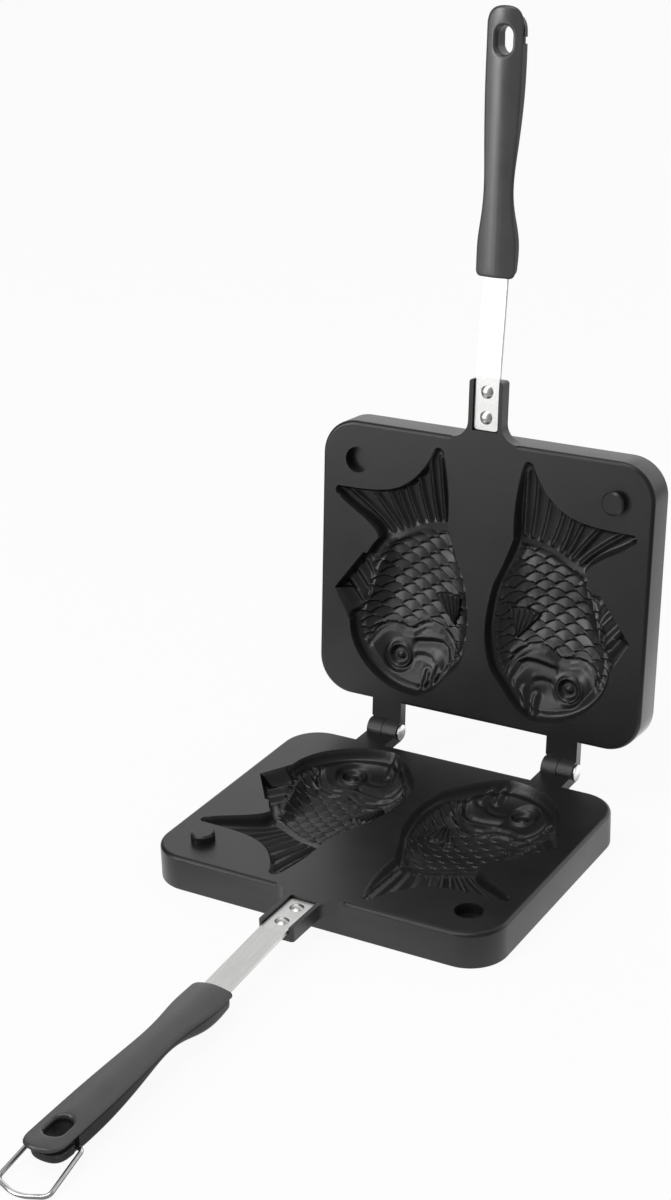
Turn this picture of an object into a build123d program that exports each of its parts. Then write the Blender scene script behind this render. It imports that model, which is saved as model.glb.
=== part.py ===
from build123d import *
import os
from math import asin, atan2, cos, radians, sin, sqrt

os.makedirs("parts", exist_ok=True)

# A hinged double pan for fish-shaped cakes. Millimetres, +Z up. The lower pan stands on its rim at z = 0,
# the handles point to -Y, and the hinge axis runs along X. The upper pan is the same casting turned over
# and stands open, as in the photo. The origin is on the foot of the lower pan's back rim, in mid-width.

# ---- Casting -----------------------------------------------------------------------------------------
plate_width = 155.0
plate_depth = 125.4
plate_height = 15.2
plate_corner_radius = 16.0
plate_edge_radius = 1.6
deck_thickness = 3.0
rim_thickness = 3.0
mould_wall = 2.6
mould_slack = 1.0
rim_foot_radius = 0.8

# ---- Fish moulds -------------------------------------------------------------------------------------
mould_foot_gap = 2.1
fin_mould_depth = 4.6
fish_side_margin = 6.5
fish_middle_margin = 4.0
fish_head_margin = 5.2
fish_tail_margin = 6.0
eye_radius = 5.6
eye_rise = 2.6
pupil_radius = 2.2
pupil_depth = 1.2
gill_width = 1.6
gill_rise = 2.0
ray_width = 1.3
ray_height = 0.9

# ---- Hinge -------------------------------------------------------------------------------------------
hinge_to_plate = 13.2
hinge_spacing = 85.2
hinge_arm_width = 14.4
knuckle_radius = 4.7
knuckle_split = 0.3
knuckle_relief = 0.8
pin_radius = 2.2
pin_clearance = 0.05
pin_head_radius = 3.6
pin_head_height = 1.4
pin_end_radius = 3.0
pin_end_height = 1.0
pin_head_gap = 0.15
face_gap = 0.4
open_angle = 95.3
stop_gap = 0.15
arm_overlap = 5.0
heel_root = 1.0
heel_drop = 0.1

# ---- Strap boss --------------------------------------------------------------------------------------
boss_length = 25.6
boss_thickness = 6.0
boss_flare = 7.5
boss_corner_radius = 1.4
channel_wall = 1.9
channel_start = 3.8
strap_step = 1.2

# ---- Locating peg and socket -------------------------------------------------------------------------
locator_side_margin = 17.0
locator_front_margin = 17.1
peg_radius = 5.0
peg_height = 3.7
peg_chamfer = 0.8
socket_clearance = 0.7
socket_extra_depth = 0.8
socket_wall = 2.4

# ---- Strap -------------------------------------------------------------------------------------------
strap_width = 11.0
strap_thickness = 1.5
strap_corner_radius = 1.6
strap_side_gap = 0.4
strap_bend_radius = 14.0
exposed_strap = 42.4
tang_width = 9.0
tang_to_tip = 30.0
tang_shoulder = 7.0
rivet_pitch = 11.0
rivet_edge = 5.4
rivet_radius = 1.6
rivet_head_radius = 2.9
rivet_head_height = 1.1
rivet_hole_clearance = 0.05

# ---- Handle ------------------------------------------------------------------------------------------
handle_length = 108.0
parting_depth = 4.4
cover_crown_depth = 2.0
cover_edge_drop = 0.9
cover_half_width = 8.8
cover_tip_drop = 0.8
cover_edge_radius = 1.2
cover_end_radius = 2.4
tip_narrowing = 0.8
tip_fullness = 0.76
grip_inset = 0.9
grip_tip_inset = 3.0
grip_edge_radius = 2.6
grip_end_radius = 3.4
shadow_gap_height = 0.5
shadow_gap_inset = 0.7
neck_start_depth = 5.4
neck_height = 2.0
neck_inset = 1.2
neck_back = 14.0
pocket_clearance = 0.05
front_screw_from_start = 14.0
rear_screw_from_tip = 40.0
screw_radius = 1.5
screw_head_radius = 2.8
screw_head_height = 1.2
screw_length = 5.5
screw_clearance = 0.05
drive_width = 0.6
drive_depth = 0.6
cover_peg_from_tip = 24.6
cover_peg_x = 3.6
cover_peg_radius = 1.4
cover_peg_length = 2.4
cover_peg_clearance = 0.05
hang_slot_width = 7.6
hang_slot_length = 11.6
hang_slot_from_tip = 13.5

# ---- Bail --------------------------------------------------------------------------------------------
bail_depth = 9.5
bail_wire_radius = 0.85
bail_peak = 25.2
bail_leg_reach = 21.4
bail_half_width = 10.5
bail_pivot_half_width = 9.3
bail_end_gap = 0.1
bail_hole_floor = 0.5
bail_pivot_clearance = 0.08
bail_floor_gap = 0.1
bail_notch_width = 2.8
bail_notch_depth = 1.7
bail_bend_radius = 1.7
bail_corner_radius = 3.2
bail_loop_radius = 14.0

# ---- Worked-out places -------------------------------------------------------------------------------
face_depth = face_gap / 2
hinge_z = plate_height + face_depth
hinge_y = hinge_to_plate + rim_thickness / 2
plate_front = -(hinge_to_plate + plate_depth)
plate_middle = -(hinge_to_plate + plate_depth / 2)
arm_end = -(knuckle_radius + knuckle_relief)
heel_rise = knuckle_radius - heel_drop
boss_end = plate_front - boss_length
fish_width = plate_width / 2 - fish_side_margin - fish_middle_margin
fish_length = plate_depth - fish_head_margin - fish_tail_margin
locator_x = plate_width / 2 - locator_side_margin
locator_y = plate_front + locator_front_margin
channel_half_width = strap_width / 2 + strap_side_gap
boss_half_width = channel_half_width + channel_wall
body_mould_depth = plate_height - mould_wall - mould_foot_gap
channel_end = plate_front - channel_start
strap_end = channel_end - strap_side_gap
strap_depth = face_depth + strap_step
strap_floor = strap_depth + strap_thickness
rivet_places = (strap_end - rivet_edge, strap_end - rivet_edge - rivet_pitch)
handle_start = boss_end - exposed_strap
handle_tip = handle_start - handle_length
tang_end = handle_tip + tang_to_tip
tang_length = handle_start - tang_end
screw_places = (handle_start - front_screw_from_start, handle_tip + rear_screw_from_tip)
cover_peg_y = handle_tip + cover_peg_from_tip
hang_slot_y = handle_tip + hang_slot_from_tip
socket_radius = peg_radius + socket_clearance
socket_depth = peg_height + socket_extra_depth
pin_hole_radius = pin_radius + pin_clearance


def level(depth):
    """A plane parallel to the mating faces, this far below the hinge axis."""
    return Plane(origin=(0, hinge_y, hinge_z - depth))


def side_view(x=0.0):
    """An upright plane across the hinge axis: its x is +Y and its y is +Z, both from the axis."""
    return Plane(origin=(x, hinge_y, hinge_z), x_dir=(0, 1, 0), z_dir=(1, 0, 0))


# The upper half is the lower one turned over about Y through the hinge axis, then opened about X.
lid_place = (
    Location((0, hinge_y, hinge_z))
    * Location((0, 0, 0), (-open_angle, 0, 0))
    * Location((0, 0, 0), (0, 180, 0))
    * Location((0, -hinge_y, -hinge_z))
)


# ======================================================================================================
# Pans: a deck with a rim round it, two fish moulds that bulge below, hinge arms, boss, peg and socket
# ======================================================================================================
# The fish's opening at the mating face, drawn in a box of its own: how far out from the middle of the pan, and
# how far along from the head. It runs from the dorsal fin round the head, down the belly, round the tail and
# back up to the fin, and each stretch goes on from the last point of the one before it.
drawn_fish_width = 67.0
drawn_fish_length = 114.2
fish_back = ((58.5, 29.6), (56.5, 19.6), (48.5, 8.6), (37.0, 1.9), (24.0, 0.0))
fish_snout = ((17.5, 3.4), (10.5, 10.6))
fish_belly = ((4.2, 18.4), (0.6, 28.6), (0.0, 41.6), (2.8, 57.6), (11.5, 79.6))
tail_side = ((11.6, 94.6), (14.5, 112.1))
tail_tip = ((16.8, 114.2), (19.4, 112.6))
tail_fork = ((25.0, 102.8), (35.0, 94.4), (49.0, 91.0), (64.0, 90.4))
tail_corner = ((67.0, 88.6), (65.0, 86.1))
tail_back = ((53.5, 78.4), (44.8, 69.6), (48.0, 62.1))
dorsal_fin = ((52.5, 61.9), (66.5, 43.4))

# The deep body in the same box: an oval, leaning a little towards the middle of the pan at its tail end.
deep_body_middle = (29.3, 39.8)
deep_body_half_width = 27.2
deep_body_half_length = 38.4
deep_body_lean = 5.0

# The middle of the eye, the edge of the gill cover, and the tail's rays from root to fork, in the same box.
eye_middle = (36.8, 15.0)
gill_line = ((7.0, 17.6), (14.0, 28.0), (24.0, 31.6), (38.0, 29.6), (47.0, 24.6))
tail_rays = (
    ((40.6, 72.9), (59.5, 87.8)), ((36.6, 74.1), (49.0, 88.8)), ((33.6, 75.1), (41.5, 90.6)),
    ((31.0, 76.1), (35.6, 93.1)), ((27.8, 77.9), (29.4, 97.4)), ((23.8, 78.8), (23.8, 102.4)),
    ((19.0, 79.6), (18.8, 108.6)),
)


def fish_points(drawn, side=-1):
    """Places points of the drawn fish in the pan: side -1 is the left mould, side 1 the right one."""
    placed = []
    for out, along in drawn:
        placed.append((
            side * (fish_middle_margin + out * fish_width / drawn_fish_width),
            -(hinge_to_plate + fish_head_margin + along * fish_length / drawn_fish_length),
        ))
    return placed


def fish_edge():
    """The left mould's smooth opening."""
    back = Spline(*fish_points(fish_back))
    snout = Spline(back @ 1, *fish_points(fish_snout))
    belly = Spline(snout @ 1, *fish_points(fish_belly), tangents=[snout % 1, (-0.35, -1.0)])
    side = Spline(belly @ 1, *fish_points(tail_side))
    tip = ThreePointArc(side @ 1, *fish_points(tail_tip))
    fork = Spline(tip @ 1, *fish_points(tail_fork))
    corner = ThreePointArc(fork @ 1, *fish_points(tail_corner))
    root = Spline(corner @ 1, *fish_points(tail_back))
    Polyline(root @ 1, *fish_points(dorsal_fin), back @ 0)


def body_oval(side, growth):
    """The oval of one mould's deep body, grown or shrunk by the same amount all round."""
    with Locations(*fish_points([deep_body_middle], side)):
        Ellipse(
            deep_body_half_width * fish_width / drawn_fish_width + growth,
            deep_body_half_length * fish_length / drawn_fish_length + growth,
            rotation=-side * deep_body_lean,
        )


# How far the bowl's edge has drawn in at each share of its depth.
bowl_steps = ((0.0, 0.0), (0.38, -2.6), (0.76, -6.6), (1.0, -14.0))

with BuildPart() as lower_plate:
    # Deck and rim
    with BuildSketch(level(face_depth)):
        with Locations((0, plate_middle)):
            RectangleRounded(plate_width, plate_depth, plate_corner_radius)
    extrude(amount=-plate_height)
    fillet(lower_plate.faces().sort_by(Axis.Z)[-1].edges(), plate_edge_radius)
    with BuildSketch(level(face_depth + deck_thickness)):
        with Locations((0, plate_middle)):
            RectangleRounded(
                plate_width - 2 * rim_thickness,
                plate_depth - 2 * rim_thickness,
                plate_corner_radius - rim_thickness,
            )
    extrude(amount=-plate_height, mode=Mode.SUBTRACT)
    fillet(lower_plate.faces().sort_by(Axis.Z)[0].edges(), rim_foot_radius)

    # Outsides of the moulds
    with BuildSketch(level(face_depth + deck_thickness / 2)):
        with BuildLine():
            Polyline(
                *fish_points(fish_back + fish_snout + fish_belly + tail_side + tail_tip),
                *fish_points(tail_fork + tail_corner + tail_back + dorsal_fin),
                close=True,
            )
        make_face()
        mirror(about=Plane.YZ)
        offset(amount=mould_wall + mould_slack)
    extrude(amount=-(fin_mould_depth + mould_wall - deck_thickness / 2))
    for side in (-1, 1):
        for share, drawn_in in bowl_steps:
            outer_depth = deck_thickness / 2 + share * (body_mould_depth + mould_wall - deck_thickness / 2)
            with BuildSketch(level(face_depth + outer_depth)):
                body_oval(side, drawn_in + mould_wall)
        loft()

    # Hinge arms, each with its knuckle on the left half and a heel that stops the pan when it is open
    for hinge_x in (-hinge_spacing / 2, hinge_spacing / 2):
        with BuildSketch(side_view(hinge_x - hinge_arm_width / 2)):
            with BuildLine():
                Polyline(
                    (-(hinge_to_plate + arm_overlap), -face_depth),
                    (arm_end, -face_depth),
                    (arm_end, -knuckle_radius),
                    (-(hinge_to_plate + arm_overlap), -knuckle_radius),
                    close=True,
                )
            make_face()
        extrude(amount=hinge_arm_width)
        with BuildSketch(side_view(hinge_x - hinge_arm_width / 2)):
            Circle(knuckle_radius)
            with BuildLine():
                Polyline(
                    (arm_end, -face_depth),
                    (0, -face_depth),
                    (0, -knuckle_radius),
                    (arm_end, -knuckle_radius),
                    close=True,
                )
            make_face()
            heel = []
            heel_reach = -arm_end - stop_gap
            turn = radians(open_angle)
            for reach, rise in (
                (heel_root, heel_root), (heel_root, heel_rise), (heel_reach, heel_rise), (heel_reach, heel_root)
            ):
                heel.append((-reach * cos(turn) + rise * sin(turn), reach * sin(turn) + rise * cos(turn)))
            with BuildLine():
                Polyline(*heel, close=True)
            make_face()
        extrude(amount=(hinge_arm_width - knuckle_split) / 2)
        with BuildSketch(side_view(hinge_x - hinge_arm_width / 2)):
            Circle(pin_hole_radius)
        extrude(amount=hinge_arm_width, mode=Mode.SUBTRACT)

    # Strap boss with flared roots
    with BuildSketch(level(face_depth)):
        with BuildLine():
            flare_x = boss_half_width + boss_flare
            slant = boss_flare * (1 - sqrt(0.5))
            root = Polyline((0, plate_front + arm_overlap), (flare_x, plate_front + arm_overlap),
                            (flare_x, plate_front))
            flare = ThreePointArc(
                root @ 1,
                (boss_half_width + slant, plate_front - slant),
                (boss_half_width, plate_front - boss_flare),
            )
            Polyline(flare @ 1, (boss_half_width, boss_end), (0, boss_end))
            mirror(about=Plane.YZ)
        make_face()
    extrude(amount=-boss_thickness)
    fillet(
        lower_plate.edges().filter_by(Axis.Z).filter_by_position(
            Axis.Y, hinge_y + boss_end - 0.1, hinge_y + boss_end + 0.1),
        boss_corner_radius,
    )

    # Locating peg, and the pad below the socket
    with BuildSketch(level(face_depth)):
        with Locations((-locator_x, locator_y)):
            Circle(peg_radius)
    extrude(amount=peg_height)
    peg_top = hinge_z - face_depth + peg_height
    chamfer(
        lower_plate.faces().filter_by_position(Axis.Z, peg_top - 0.01, peg_top + 0.01).edges(),
        peg_chamfer,
    )
    with BuildSketch(level(face_depth)):
        with Locations((locator_x, locator_y)):
            Circle(socket_radius + socket_wall)
    extrude(amount=-(socket_depth + socket_wall))

    # Insides of the moulds
    with BuildSketch(level(face_depth)):
        with BuildLine():
            fish_edge()
        make_face()
        mirror(about=Plane.YZ)
    extrude(amount=-fin_mould_depth, mode=Mode.SUBTRACT)
    for side in (-1, 1):
        for share, drawn_in in bowl_steps:
            with BuildSketch(level(face_depth + share * body_mould_depth)):
                body_oval(side, drawn_in)
        loft(mode=Mode.SUBTRACT)

    # Rays on the tail's floor, the gill cover's edge, and the eye with its sunk pupil
    with BuildSketch(level(face_depth + fin_mould_depth - ray_height)):
        for side in (-1, 1):
            for ray in tail_rays:
                with BuildLine():
                    Line(*fish_points(ray, side))
                trace(line_width=ray_width)
    extrude(amount=-(ray_height + mould_wall / 2))
    for side in (-1, 1):
        with BuildSketch(level(face_depth + body_mould_depth - gill_rise)):
            with BuildLine():
                Spline(*fish_points(gill_line, side))
            trace(line_width=gill_width)
        extrude(amount=-(gill_rise + mould_wall / 2))
        with BuildSketch(level(face_depth + body_mould_depth - eye_rise)):
            with Locations(*fish_points([eye_middle], side)):
                Circle(eye_radius)
        extrude(amount=-(eye_rise + mould_wall / 2))
        with BuildSketch(level(face_depth + body_mould_depth - eye_rise)):
            with Locations(*fish_points([eye_middle], side)):
                Circle(pupil_radius)
        extrude(amount=-pupil_depth, mode=Mode.SUBTRACT)

    # Socket, strap channel and rivet holes
    with BuildSketch(level(face_depth)):
        with Locations((locator_x, locator_y)):
            Circle(socket_radius)
    extrude(amount=-socket_depth, mode=Mode.SUBTRACT)
    with BuildSketch(level(face_depth)):
        with Locations((0, (channel_end + boss_end - boss_length) / 2)):
            Rectangle(2 * channel_half_width, channel_end - boss_end + boss_length)
    extrude(amount=-(strap_floor - face_depth), mode=Mode.SUBTRACT)
    with BuildSketch(level(strap_floor)):
        for rivet_y in rivet_places:
            with Locations((0, rivet_y)):
                Circle(rivet_radius + rivet_hole_clearance)
    extrude(amount=-boss_thickness, mode=Mode.SUBTRACT)
lower_plate.part.label = "lower_plate"
export_step(lower_plate.part, "parts/lower_plate.step")

with BuildPart() as upper_plate:
    add(lower_plate.part.moved(lid_place))
upper_plate.part.label = "upper_plate"
export_step(upper_plate.part, "parts/upper_plate.step")


# ======================================================================================================
# Hinge pins: a round head against the upper knuckle, a peened end against the lower one
# ======================================================================================================
def dome_point(base, radius, height):
    """A point halfway up a spherical dome that stands on a base, as (along the axis, off the axis)."""
    sphere = (radius**2 + height**2) / (2 * height)
    turn = asin(radius / sphere) / 2
    return (base + height - sphere + sphere * cos(turn), sphere * sin(turn))


def hinge_pin(name, hinge_x):
    """One pin along X, turned about the hinge axis."""
    left = -hinge_arm_width / 2
    right = hinge_arm_width / 2 + pin_head_gap
    with BuildPart() as pin:
        with BuildSketch(Plane(origin=(hinge_x, hinge_y, hinge_z), x_dir=(1, 0, 0), z_dir=(0, -1, 0))):
            with BuildLine():
                foot = Polyline((left - pin_end_height, 0), (left - pin_end_height, pin_radius),
                                (left, pin_end_radius), (left, pin_radius), (right, pin_radius),
                                (right, pin_head_radius), (right + pin_head_height / 2, pin_head_radius))
                crown = ThreePointArc(
                    foot @ 1,
                    dome_point(right + pin_head_height / 2, pin_head_radius, pin_head_height / 2),
                    (right + pin_head_height, 0),
                )
                Line(crown @ 1, foot @ 0)
            make_face()
        revolve(axis=Axis((hinge_x, hinge_y, hinge_z), (1, 0, 0)))
    pin.part.label = name
    export_step(pin.part, "parts/" + name + ".step")


hinge_pin("left_hinge_pin", -hinge_spacing / 2)
hinge_pin("right_hinge_pin", hinge_spacing / 2)

# ======================================================================================================
# Strap: flat on the boss, dropping away from the mating face, then flat again inside the handle
# ======================================================================================================
with BuildPart() as lower_strap:
    with BuildSketch(side_view(-strap_width)):
        with BuildLine():
            top = FilletPolyline(
                (strap_end, -strap_depth),
                (boss_end - strap_bend_radius / 8, -strap_depth),
                (handle_start + strap_bend_radius / 8, -parting_depth),
                (tang_end, -parting_depth),
                radius=strap_bend_radius,
            )
            bottom = FilletPolyline(
                (strap_end, -strap_floor),
                (boss_end - strap_bend_radius / 8, -strap_floor),
                (handle_start + strap_bend_radius / 8, -parting_depth - strap_thickness),
                (tang_end, -parting_depth - strap_thickness),
                radius=strap_bend_radius,
            )
            Line(top @ 0, bottom @ 0)
            Line(top @ 1, bottom @ 1)
        make_face()
    extrude(amount=2 * strap_width)
    with BuildSketch(level(0)):
        with Locations((0, (strap_end + handle_start - tang_shoulder) / 2)):
            RectangleRounded(strap_width, strap_end - handle_start + tang_shoulder, strap_corner_radius)
        with Locations((0, (handle_start + tang_end) / 2)):
            RectangleRounded(tang_width, tang_length, strap_corner_radius)
    extrude(amount=-2 * parting_depth, mode=Mode.INTERSECT)
    with BuildSketch(level(0)):
        for rivet_y in rivet_places:
            with Locations((0, rivet_y)):
                Circle(rivet_radius + rivet_hole_clearance)
        for screw_y in screw_places:
            with Locations((0, screw_y)):
                Circle(screw_radius + screw_clearance)
    extrude(amount=-2 * parting_depth, mode=Mode.SUBTRACT)
    for screw_y in screw_places:
        with Locations((0, hinge_y + screw_y, hinge_z - parting_depth - screw_head_height / 2)):
            Cone(
                screw_radius + screw_clearance,
                screw_head_radius + screw_clearance,
                screw_head_height,
                mode=Mode.SUBTRACT,
            )
lower_strap.part.label = "lower_strap"
export_step(lower_strap.part, "parts/lower_strap.step")

with BuildPart() as upper_strap:
    add(lower_strap.part.moved(lid_place))
upper_strap.part.label = "upper_strap"
export_step(upper_strap.part, "parts/upper_strap.step")


# ======================================================================================================
# Strap rivets: a low dome on the strap and a formed tail under the boss
# ======================================================================================================
def strap_rivet(rivet_y):
    """One rivet of the lower pan, turned about its own upright axis."""
    top = -strap_depth
    bottom = -(face_depth + boss_thickness)
    with BuildPart() as rivet:
        with BuildSketch(Plane(origin=(0, hinge_y + rivet_y, hinge_z), x_dir=(1, 0, 0), z_dir=(0, -1, 0))):
            with BuildLine():
                Line((0, bottom - rivet_head_height), (0, top + rivet_head_height))
                rise, out = dome_point(top, rivet_head_radius, rivet_head_height)
                ThreePointArc((0, top + rivet_head_height), (out, rise), (rivet_head_radius, top))
                rise, out = dome_point(-bottom, rivet_head_radius, rivet_head_height)
                ThreePointArc((0, bottom - rivet_head_height), (out, -rise), (rivet_head_radius, bottom))
                Polyline((rivet_head_radius, top), (rivet_radius, top), (rivet_radius, bottom),
                         (rivet_head_radius, bottom))
            make_face()
        revolve(axis=Axis((0, hinge_y + rivet_y, 0), (0, 0, 1)))
    return rivet.part


for place, rivet_y in zip(("inner", "outer"), rivet_places):
    lower_rivet = strap_rivet(rivet_y)
    lower_rivet.label = "lower_strap_" + place + "_rivet"
    export_step(lower_rivet, "parts/" + lower_rivet.label + ".step")
    upper_rivet = strap_rivet(rivet_y).moved(lid_place)
    upper_rivet.label = "upper_strap_" + place + "_rivet"
    export_step(upper_rivet, "parts/" + upper_rivet.label + ".step")


# ======================================================================================================
# Handle outline seen square to the mating face: broad at the strap, a waist, then a full, blunt tip
# ======================================================================================================
# How far the edge draws in at each distance from the strap end, drawn on a handle of this length.
drawn_handle_length = 108.0
waist = ((15.0, 0.2), (26.0, 1.6), (36.0, 2.2), (50.0, 1.7), (68.0, 1.0))
handle_stretch = handle_length / drawn_handle_length


def handle_edge(inset, tip_inset, end_radius):
    """The handle's edge, drawn in by an even inset at the sides and by its own inset at the tip."""
    start_x = cover_half_width - inset
    tip_x = start_x - tip_narrowing
    tip_y = handle_tip + tip_inset
    end = Line((0, handle_start), (start_x - end_radius, handle_start))
    corner = RadiusArc(end @ 1, (start_x, handle_start - end_radius), end_radius, short_sagitta=True)
    flank = Spline(
        corner @ 1,
        *[(start_x - draw, handle_start - along * handle_stretch) for along, draw in waist],
        (tip_x, tip_y + tip_x),
        tangents=[(0, -1), (0, -1)],
    )
    Spline(
        flank @ 1,
        (tip_x * tip_fullness, tip_y + tip_x * (1 - tip_fullness)),
        (0, tip_y),
        tangents=[(0, -1), (-1, 0)],
    )
    mirror(about=Plane.YZ)


# ======================================================================================================
# Handle grips: the outer shells, with a finger bump at the strap end and a groove round the tip
# ======================================================================================================
# Depth of the outer face at each distance from the strap end, on the drawn handle.
grip_back = (
    (0.0, 9.6), (8.0, 11.1), (19.0, 10.9), (27.0, 9.4), (34.0, 8.5), (46.0, 9.1),
    (58.0, 10.7), (72.0, 12.1), (88.0, 12.6), (105.0, 11.4),
)
grip_half_width = cover_half_width - tip_narrowing - grip_inset
cut_length = 2 * handle_length
cut_depth = 2 * bail_depth
bail_hole_x = hang_slot_width / 2 + bail_hole_floor


def outer_ring(depth, height, inset, length):
    """Cuts the grip's skin back to a smaller outline, from the tip over the given length."""
    with BuildSketch(level(depth)) as ring:
        with Locations((0, handle_tip + length / 2 - grip_inset)):
            Rectangle(4 * cover_half_width, length)
        with BuildLine():
            handle_edge(grip_inset + inset, grip_tip_inset + inset, grip_end_radius)
        make_face(mode=Mode.SUBTRACT)
    extrude(ring.sketch, amount=-height, mode=Mode.SUBTRACT)


with BuildPart() as lower_grip:
    with BuildSketch(level(parting_depth)):
        with BuildLine():
            handle_edge(grip_inset, grip_tip_inset, grip_end_radius)
        make_face()
    extrude(amount=-cut_depth)
    with BuildSketch(side_view(-2 * cover_half_width)):
        with BuildLine():
            back = Spline(*[(handle_start - along * handle_stretch, -depth) for along, depth in grip_back])
            Polyline(
                back @ 1,
                (handle_tip, (back @ 1).Y),
                (handle_tip, 0),
                (handle_start, 0),
                back @ 0,
            )
        make_face()
    extrude(amount=4 * cover_half_width, mode=Mode.INTERSECT)
    fillet(lower_grip.faces().sort_by(Axis.Z)[0].edges(), grip_edge_radius)

    # Shadow gap under the cover, and the groove round the tip
    outer_ring(parting_depth, shadow_gap_height, shadow_gap_inset, cut_length)
    outer_ring(neck_start_depth, neck_height, neck_inset, neck_back)

    # Pocket for the strap and its tang
    with BuildSketch(level(parting_depth)):
        with Locations((0, handle_start)):
            Rectangle(strap_width + 2 * pocket_clearance, 2 * (tang_shoulder + pocket_clearance))
        with Locations((0, (handle_start + tang_end) / 2)):
            Rectangle(tang_width + 2 * pocket_clearance, tang_length + 2 * pocket_clearance)
    extrude(amount=-(strap_thickness + pocket_clearance), mode=Mode.SUBTRACT)

    # Hang slot, side notches and the bail's blind pivot holes
    with BuildSketch(level(parting_depth)):
        with Locations((0, hang_slot_y)):
            SlotOverall(hang_slot_length, hang_slot_width, rotation=90)
        for side in (-1, 1):
            with Locations((side * grip_half_width, hang_slot_y)):
                Rectangle(2 * bail_notch_depth, bail_notch_width)
    extrude(amount=-cut_depth, mode=Mode.SUBTRACT)
    for side in (-1, 1):
        with BuildSketch(side_view(side * bail_hole_x)):
            with Locations((hang_slot_y, -bail_depth)):
                Circle(bail_wire_radius + bail_pivot_clearance)
        extrude(amount=side * cover_half_width, mode=Mode.SUBTRACT)

    # Screw holes and the holes for the cover's pegs
    with BuildSketch(level(parting_depth)):
        for screw_y in screw_places:
            with Locations((0, screw_y)):
                Circle(screw_radius + screw_clearance)
    extrude(amount=-(screw_length + screw_clearance), mode=Mode.SUBTRACT)
    with BuildSketch(level(parting_depth)):
        with Locations((-cover_peg_x, cover_peg_y), (cover_peg_x, cover_peg_y)):
            Circle(cover_peg_radius + cover_peg_clearance)
    extrude(amount=-(cover_peg_length + cover_peg_clearance), mode=Mode.SUBTRACT)
lower_grip.part.label = "lower_handle_grip"
export_step(lower_grip.part, "parts/lower_handle_grip.step")

with BuildPart() as upper_grip:
    add(lower_grip.part.moved(lid_place))
upper_grip.part.label = "upper_handle_grip"
export_step(upper_grip.part, "parts/upper_handle_grip.step")

# ======================================================================================================
# Handle covers: crowned shells that overhang the grips, with two pegs underneath
# ======================================================================================================
tilt = asin(cover_tip_drop / handle_length)
crown_half = 1.5 * cover_half_width
crown_edge = cover_crown_depth + cover_edge_drop * (crown_half / cover_half_width) ** 2
crown_plane = Plane(
    origin=(0, hinge_y + handle_start, hinge_z), x_dir=(1, 0, 0), z_dir=(0, -cos(tilt), -sin(tilt))
)

with BuildPart() as lower_cover:
    with BuildSketch(level(parting_depth)):
        with BuildLine():
            handle_edge(0, 0, cover_end_radius)
        make_face()
        with Locations((0, hang_slot_y)):
            SlotOverall(hang_slot_length, hang_slot_width, rotation=90, mode=Mode.SUBTRACT)
    extrude(amount=parting_depth)
    with BuildSketch(crown_plane):
        with BuildLine():
            ThreePointArc((-crown_half, -crown_edge), (0, -cover_crown_depth), (crown_half, -crown_edge))
            Polyline(
                (crown_half, -crown_edge),
                (crown_half, -2 * parting_depth),
                (-crown_half, -2 * parting_depth),
                (-crown_half, -crown_edge),
            )
        make_face()
    extrude(amount=cut_length, both=True, mode=Mode.INTERSECT)
    fillet(lower_cover.faces().sort_by(Axis.Z)[-1].edges(), cover_edge_radius)
    with BuildSketch(level(parting_depth)):
        with Locations((-cover_peg_x, cover_peg_y), (cover_peg_x, cover_peg_y)):
            Circle(cover_peg_radius)
    extrude(amount=-cover_peg_length)
lower_cover.part.label = "lower_handle_cover"
export_step(lower_cover.part, "parts/lower_handle_cover.step")

with BuildPart() as upper_cover:
    add(lower_cover.part.moved(lid_place))
upper_cover.part.label = "upper_handle_cover"
export_step(upper_cover.part, "parts/upper_handle_cover.step")


# ======================================================================================================
# Handle screws: countersunk in the tang, hidden under the cover
# ======================================================================================================
def handle_screw(screw_y):
    """One cross-head screw of the lower handle, with its head flush with the tang."""
    with BuildPart() as screw:
        with BuildSketch(level(parting_depth)):
            with Locations((0, screw_y)):
                Circle(screw_radius)
        extrude(amount=-screw_length)
        with Locations((0, hinge_y + screw_y, hinge_z - parting_depth - screw_head_height / 2)):
            Cone(screw_radius, screw_head_radius, screw_head_height)
        with BuildSketch(level(parting_depth)):
            with Locations((0, screw_y)):
                Rectangle(screw_head_radius, drive_width)
                Rectangle(drive_width, screw_head_radius)
        extrude(amount=-drive_depth, mode=Mode.SUBTRACT)
    return screw.part


for place, screw_y in zip(("front", "rear"), screw_places):
    lower_screw = handle_screw(screw_y)
    lower_screw.label = "lower_handle_" + place + "_screw"
    export_step(lower_screw, "parts/" + lower_screw.label + ".step")
    upper_screw = handle_screw(screw_y).moved(lid_place)
    upper_screw.label = "upper_handle_" + place + "_screw"
    export_step(upper_screw, "parts/" + upper_screw.label + ".step")

# ======================================================================================================
# Bail: one bent wire whose ends turn in to the lower grip; its loop lies down on the table
# ======================================================================================================
loop_slope = atan2(bail_peak - bail_leg_reach, bail_half_width)
bail_reach = bail_peak - bail_loop_radius * (1 / cos(loop_slope) - 1)
bail_end_x = bail_hole_x + bail_end_gap
pivot_height = hinge_z - bail_depth
bail_droop = asin((pivot_height - bail_wire_radius - bail_floor_gap) / bail_reach)
bail_plane = Plane(
    origin=(0, hinge_y + hang_slot_y, pivot_height),
    x_dir=(1, 0, 0),
    z_dir=(0, sin(bail_droop), -cos(bail_droop)),
)

with BuildPart() as flat_bail:
    with BuildLine():
        wire = FilletPolyline(
            (-bail_end_x, 0),
            (-bail_pivot_half_width, 0),
            (-bail_half_width, bail_leg_reach),
            (0, bail_peak),
            (bail_half_width, bail_leg_reach),
            (bail_pivot_half_width, 0),
            (bail_end_x, 0),
            radius=[bail_bend_radius, bail_corner_radius, bail_loop_radius, bail_corner_radius, bail_bend_radius],
        )
    with BuildSketch(wire ^ 0):
        Circle(bail_wire_radius)
    sweep()

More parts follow.
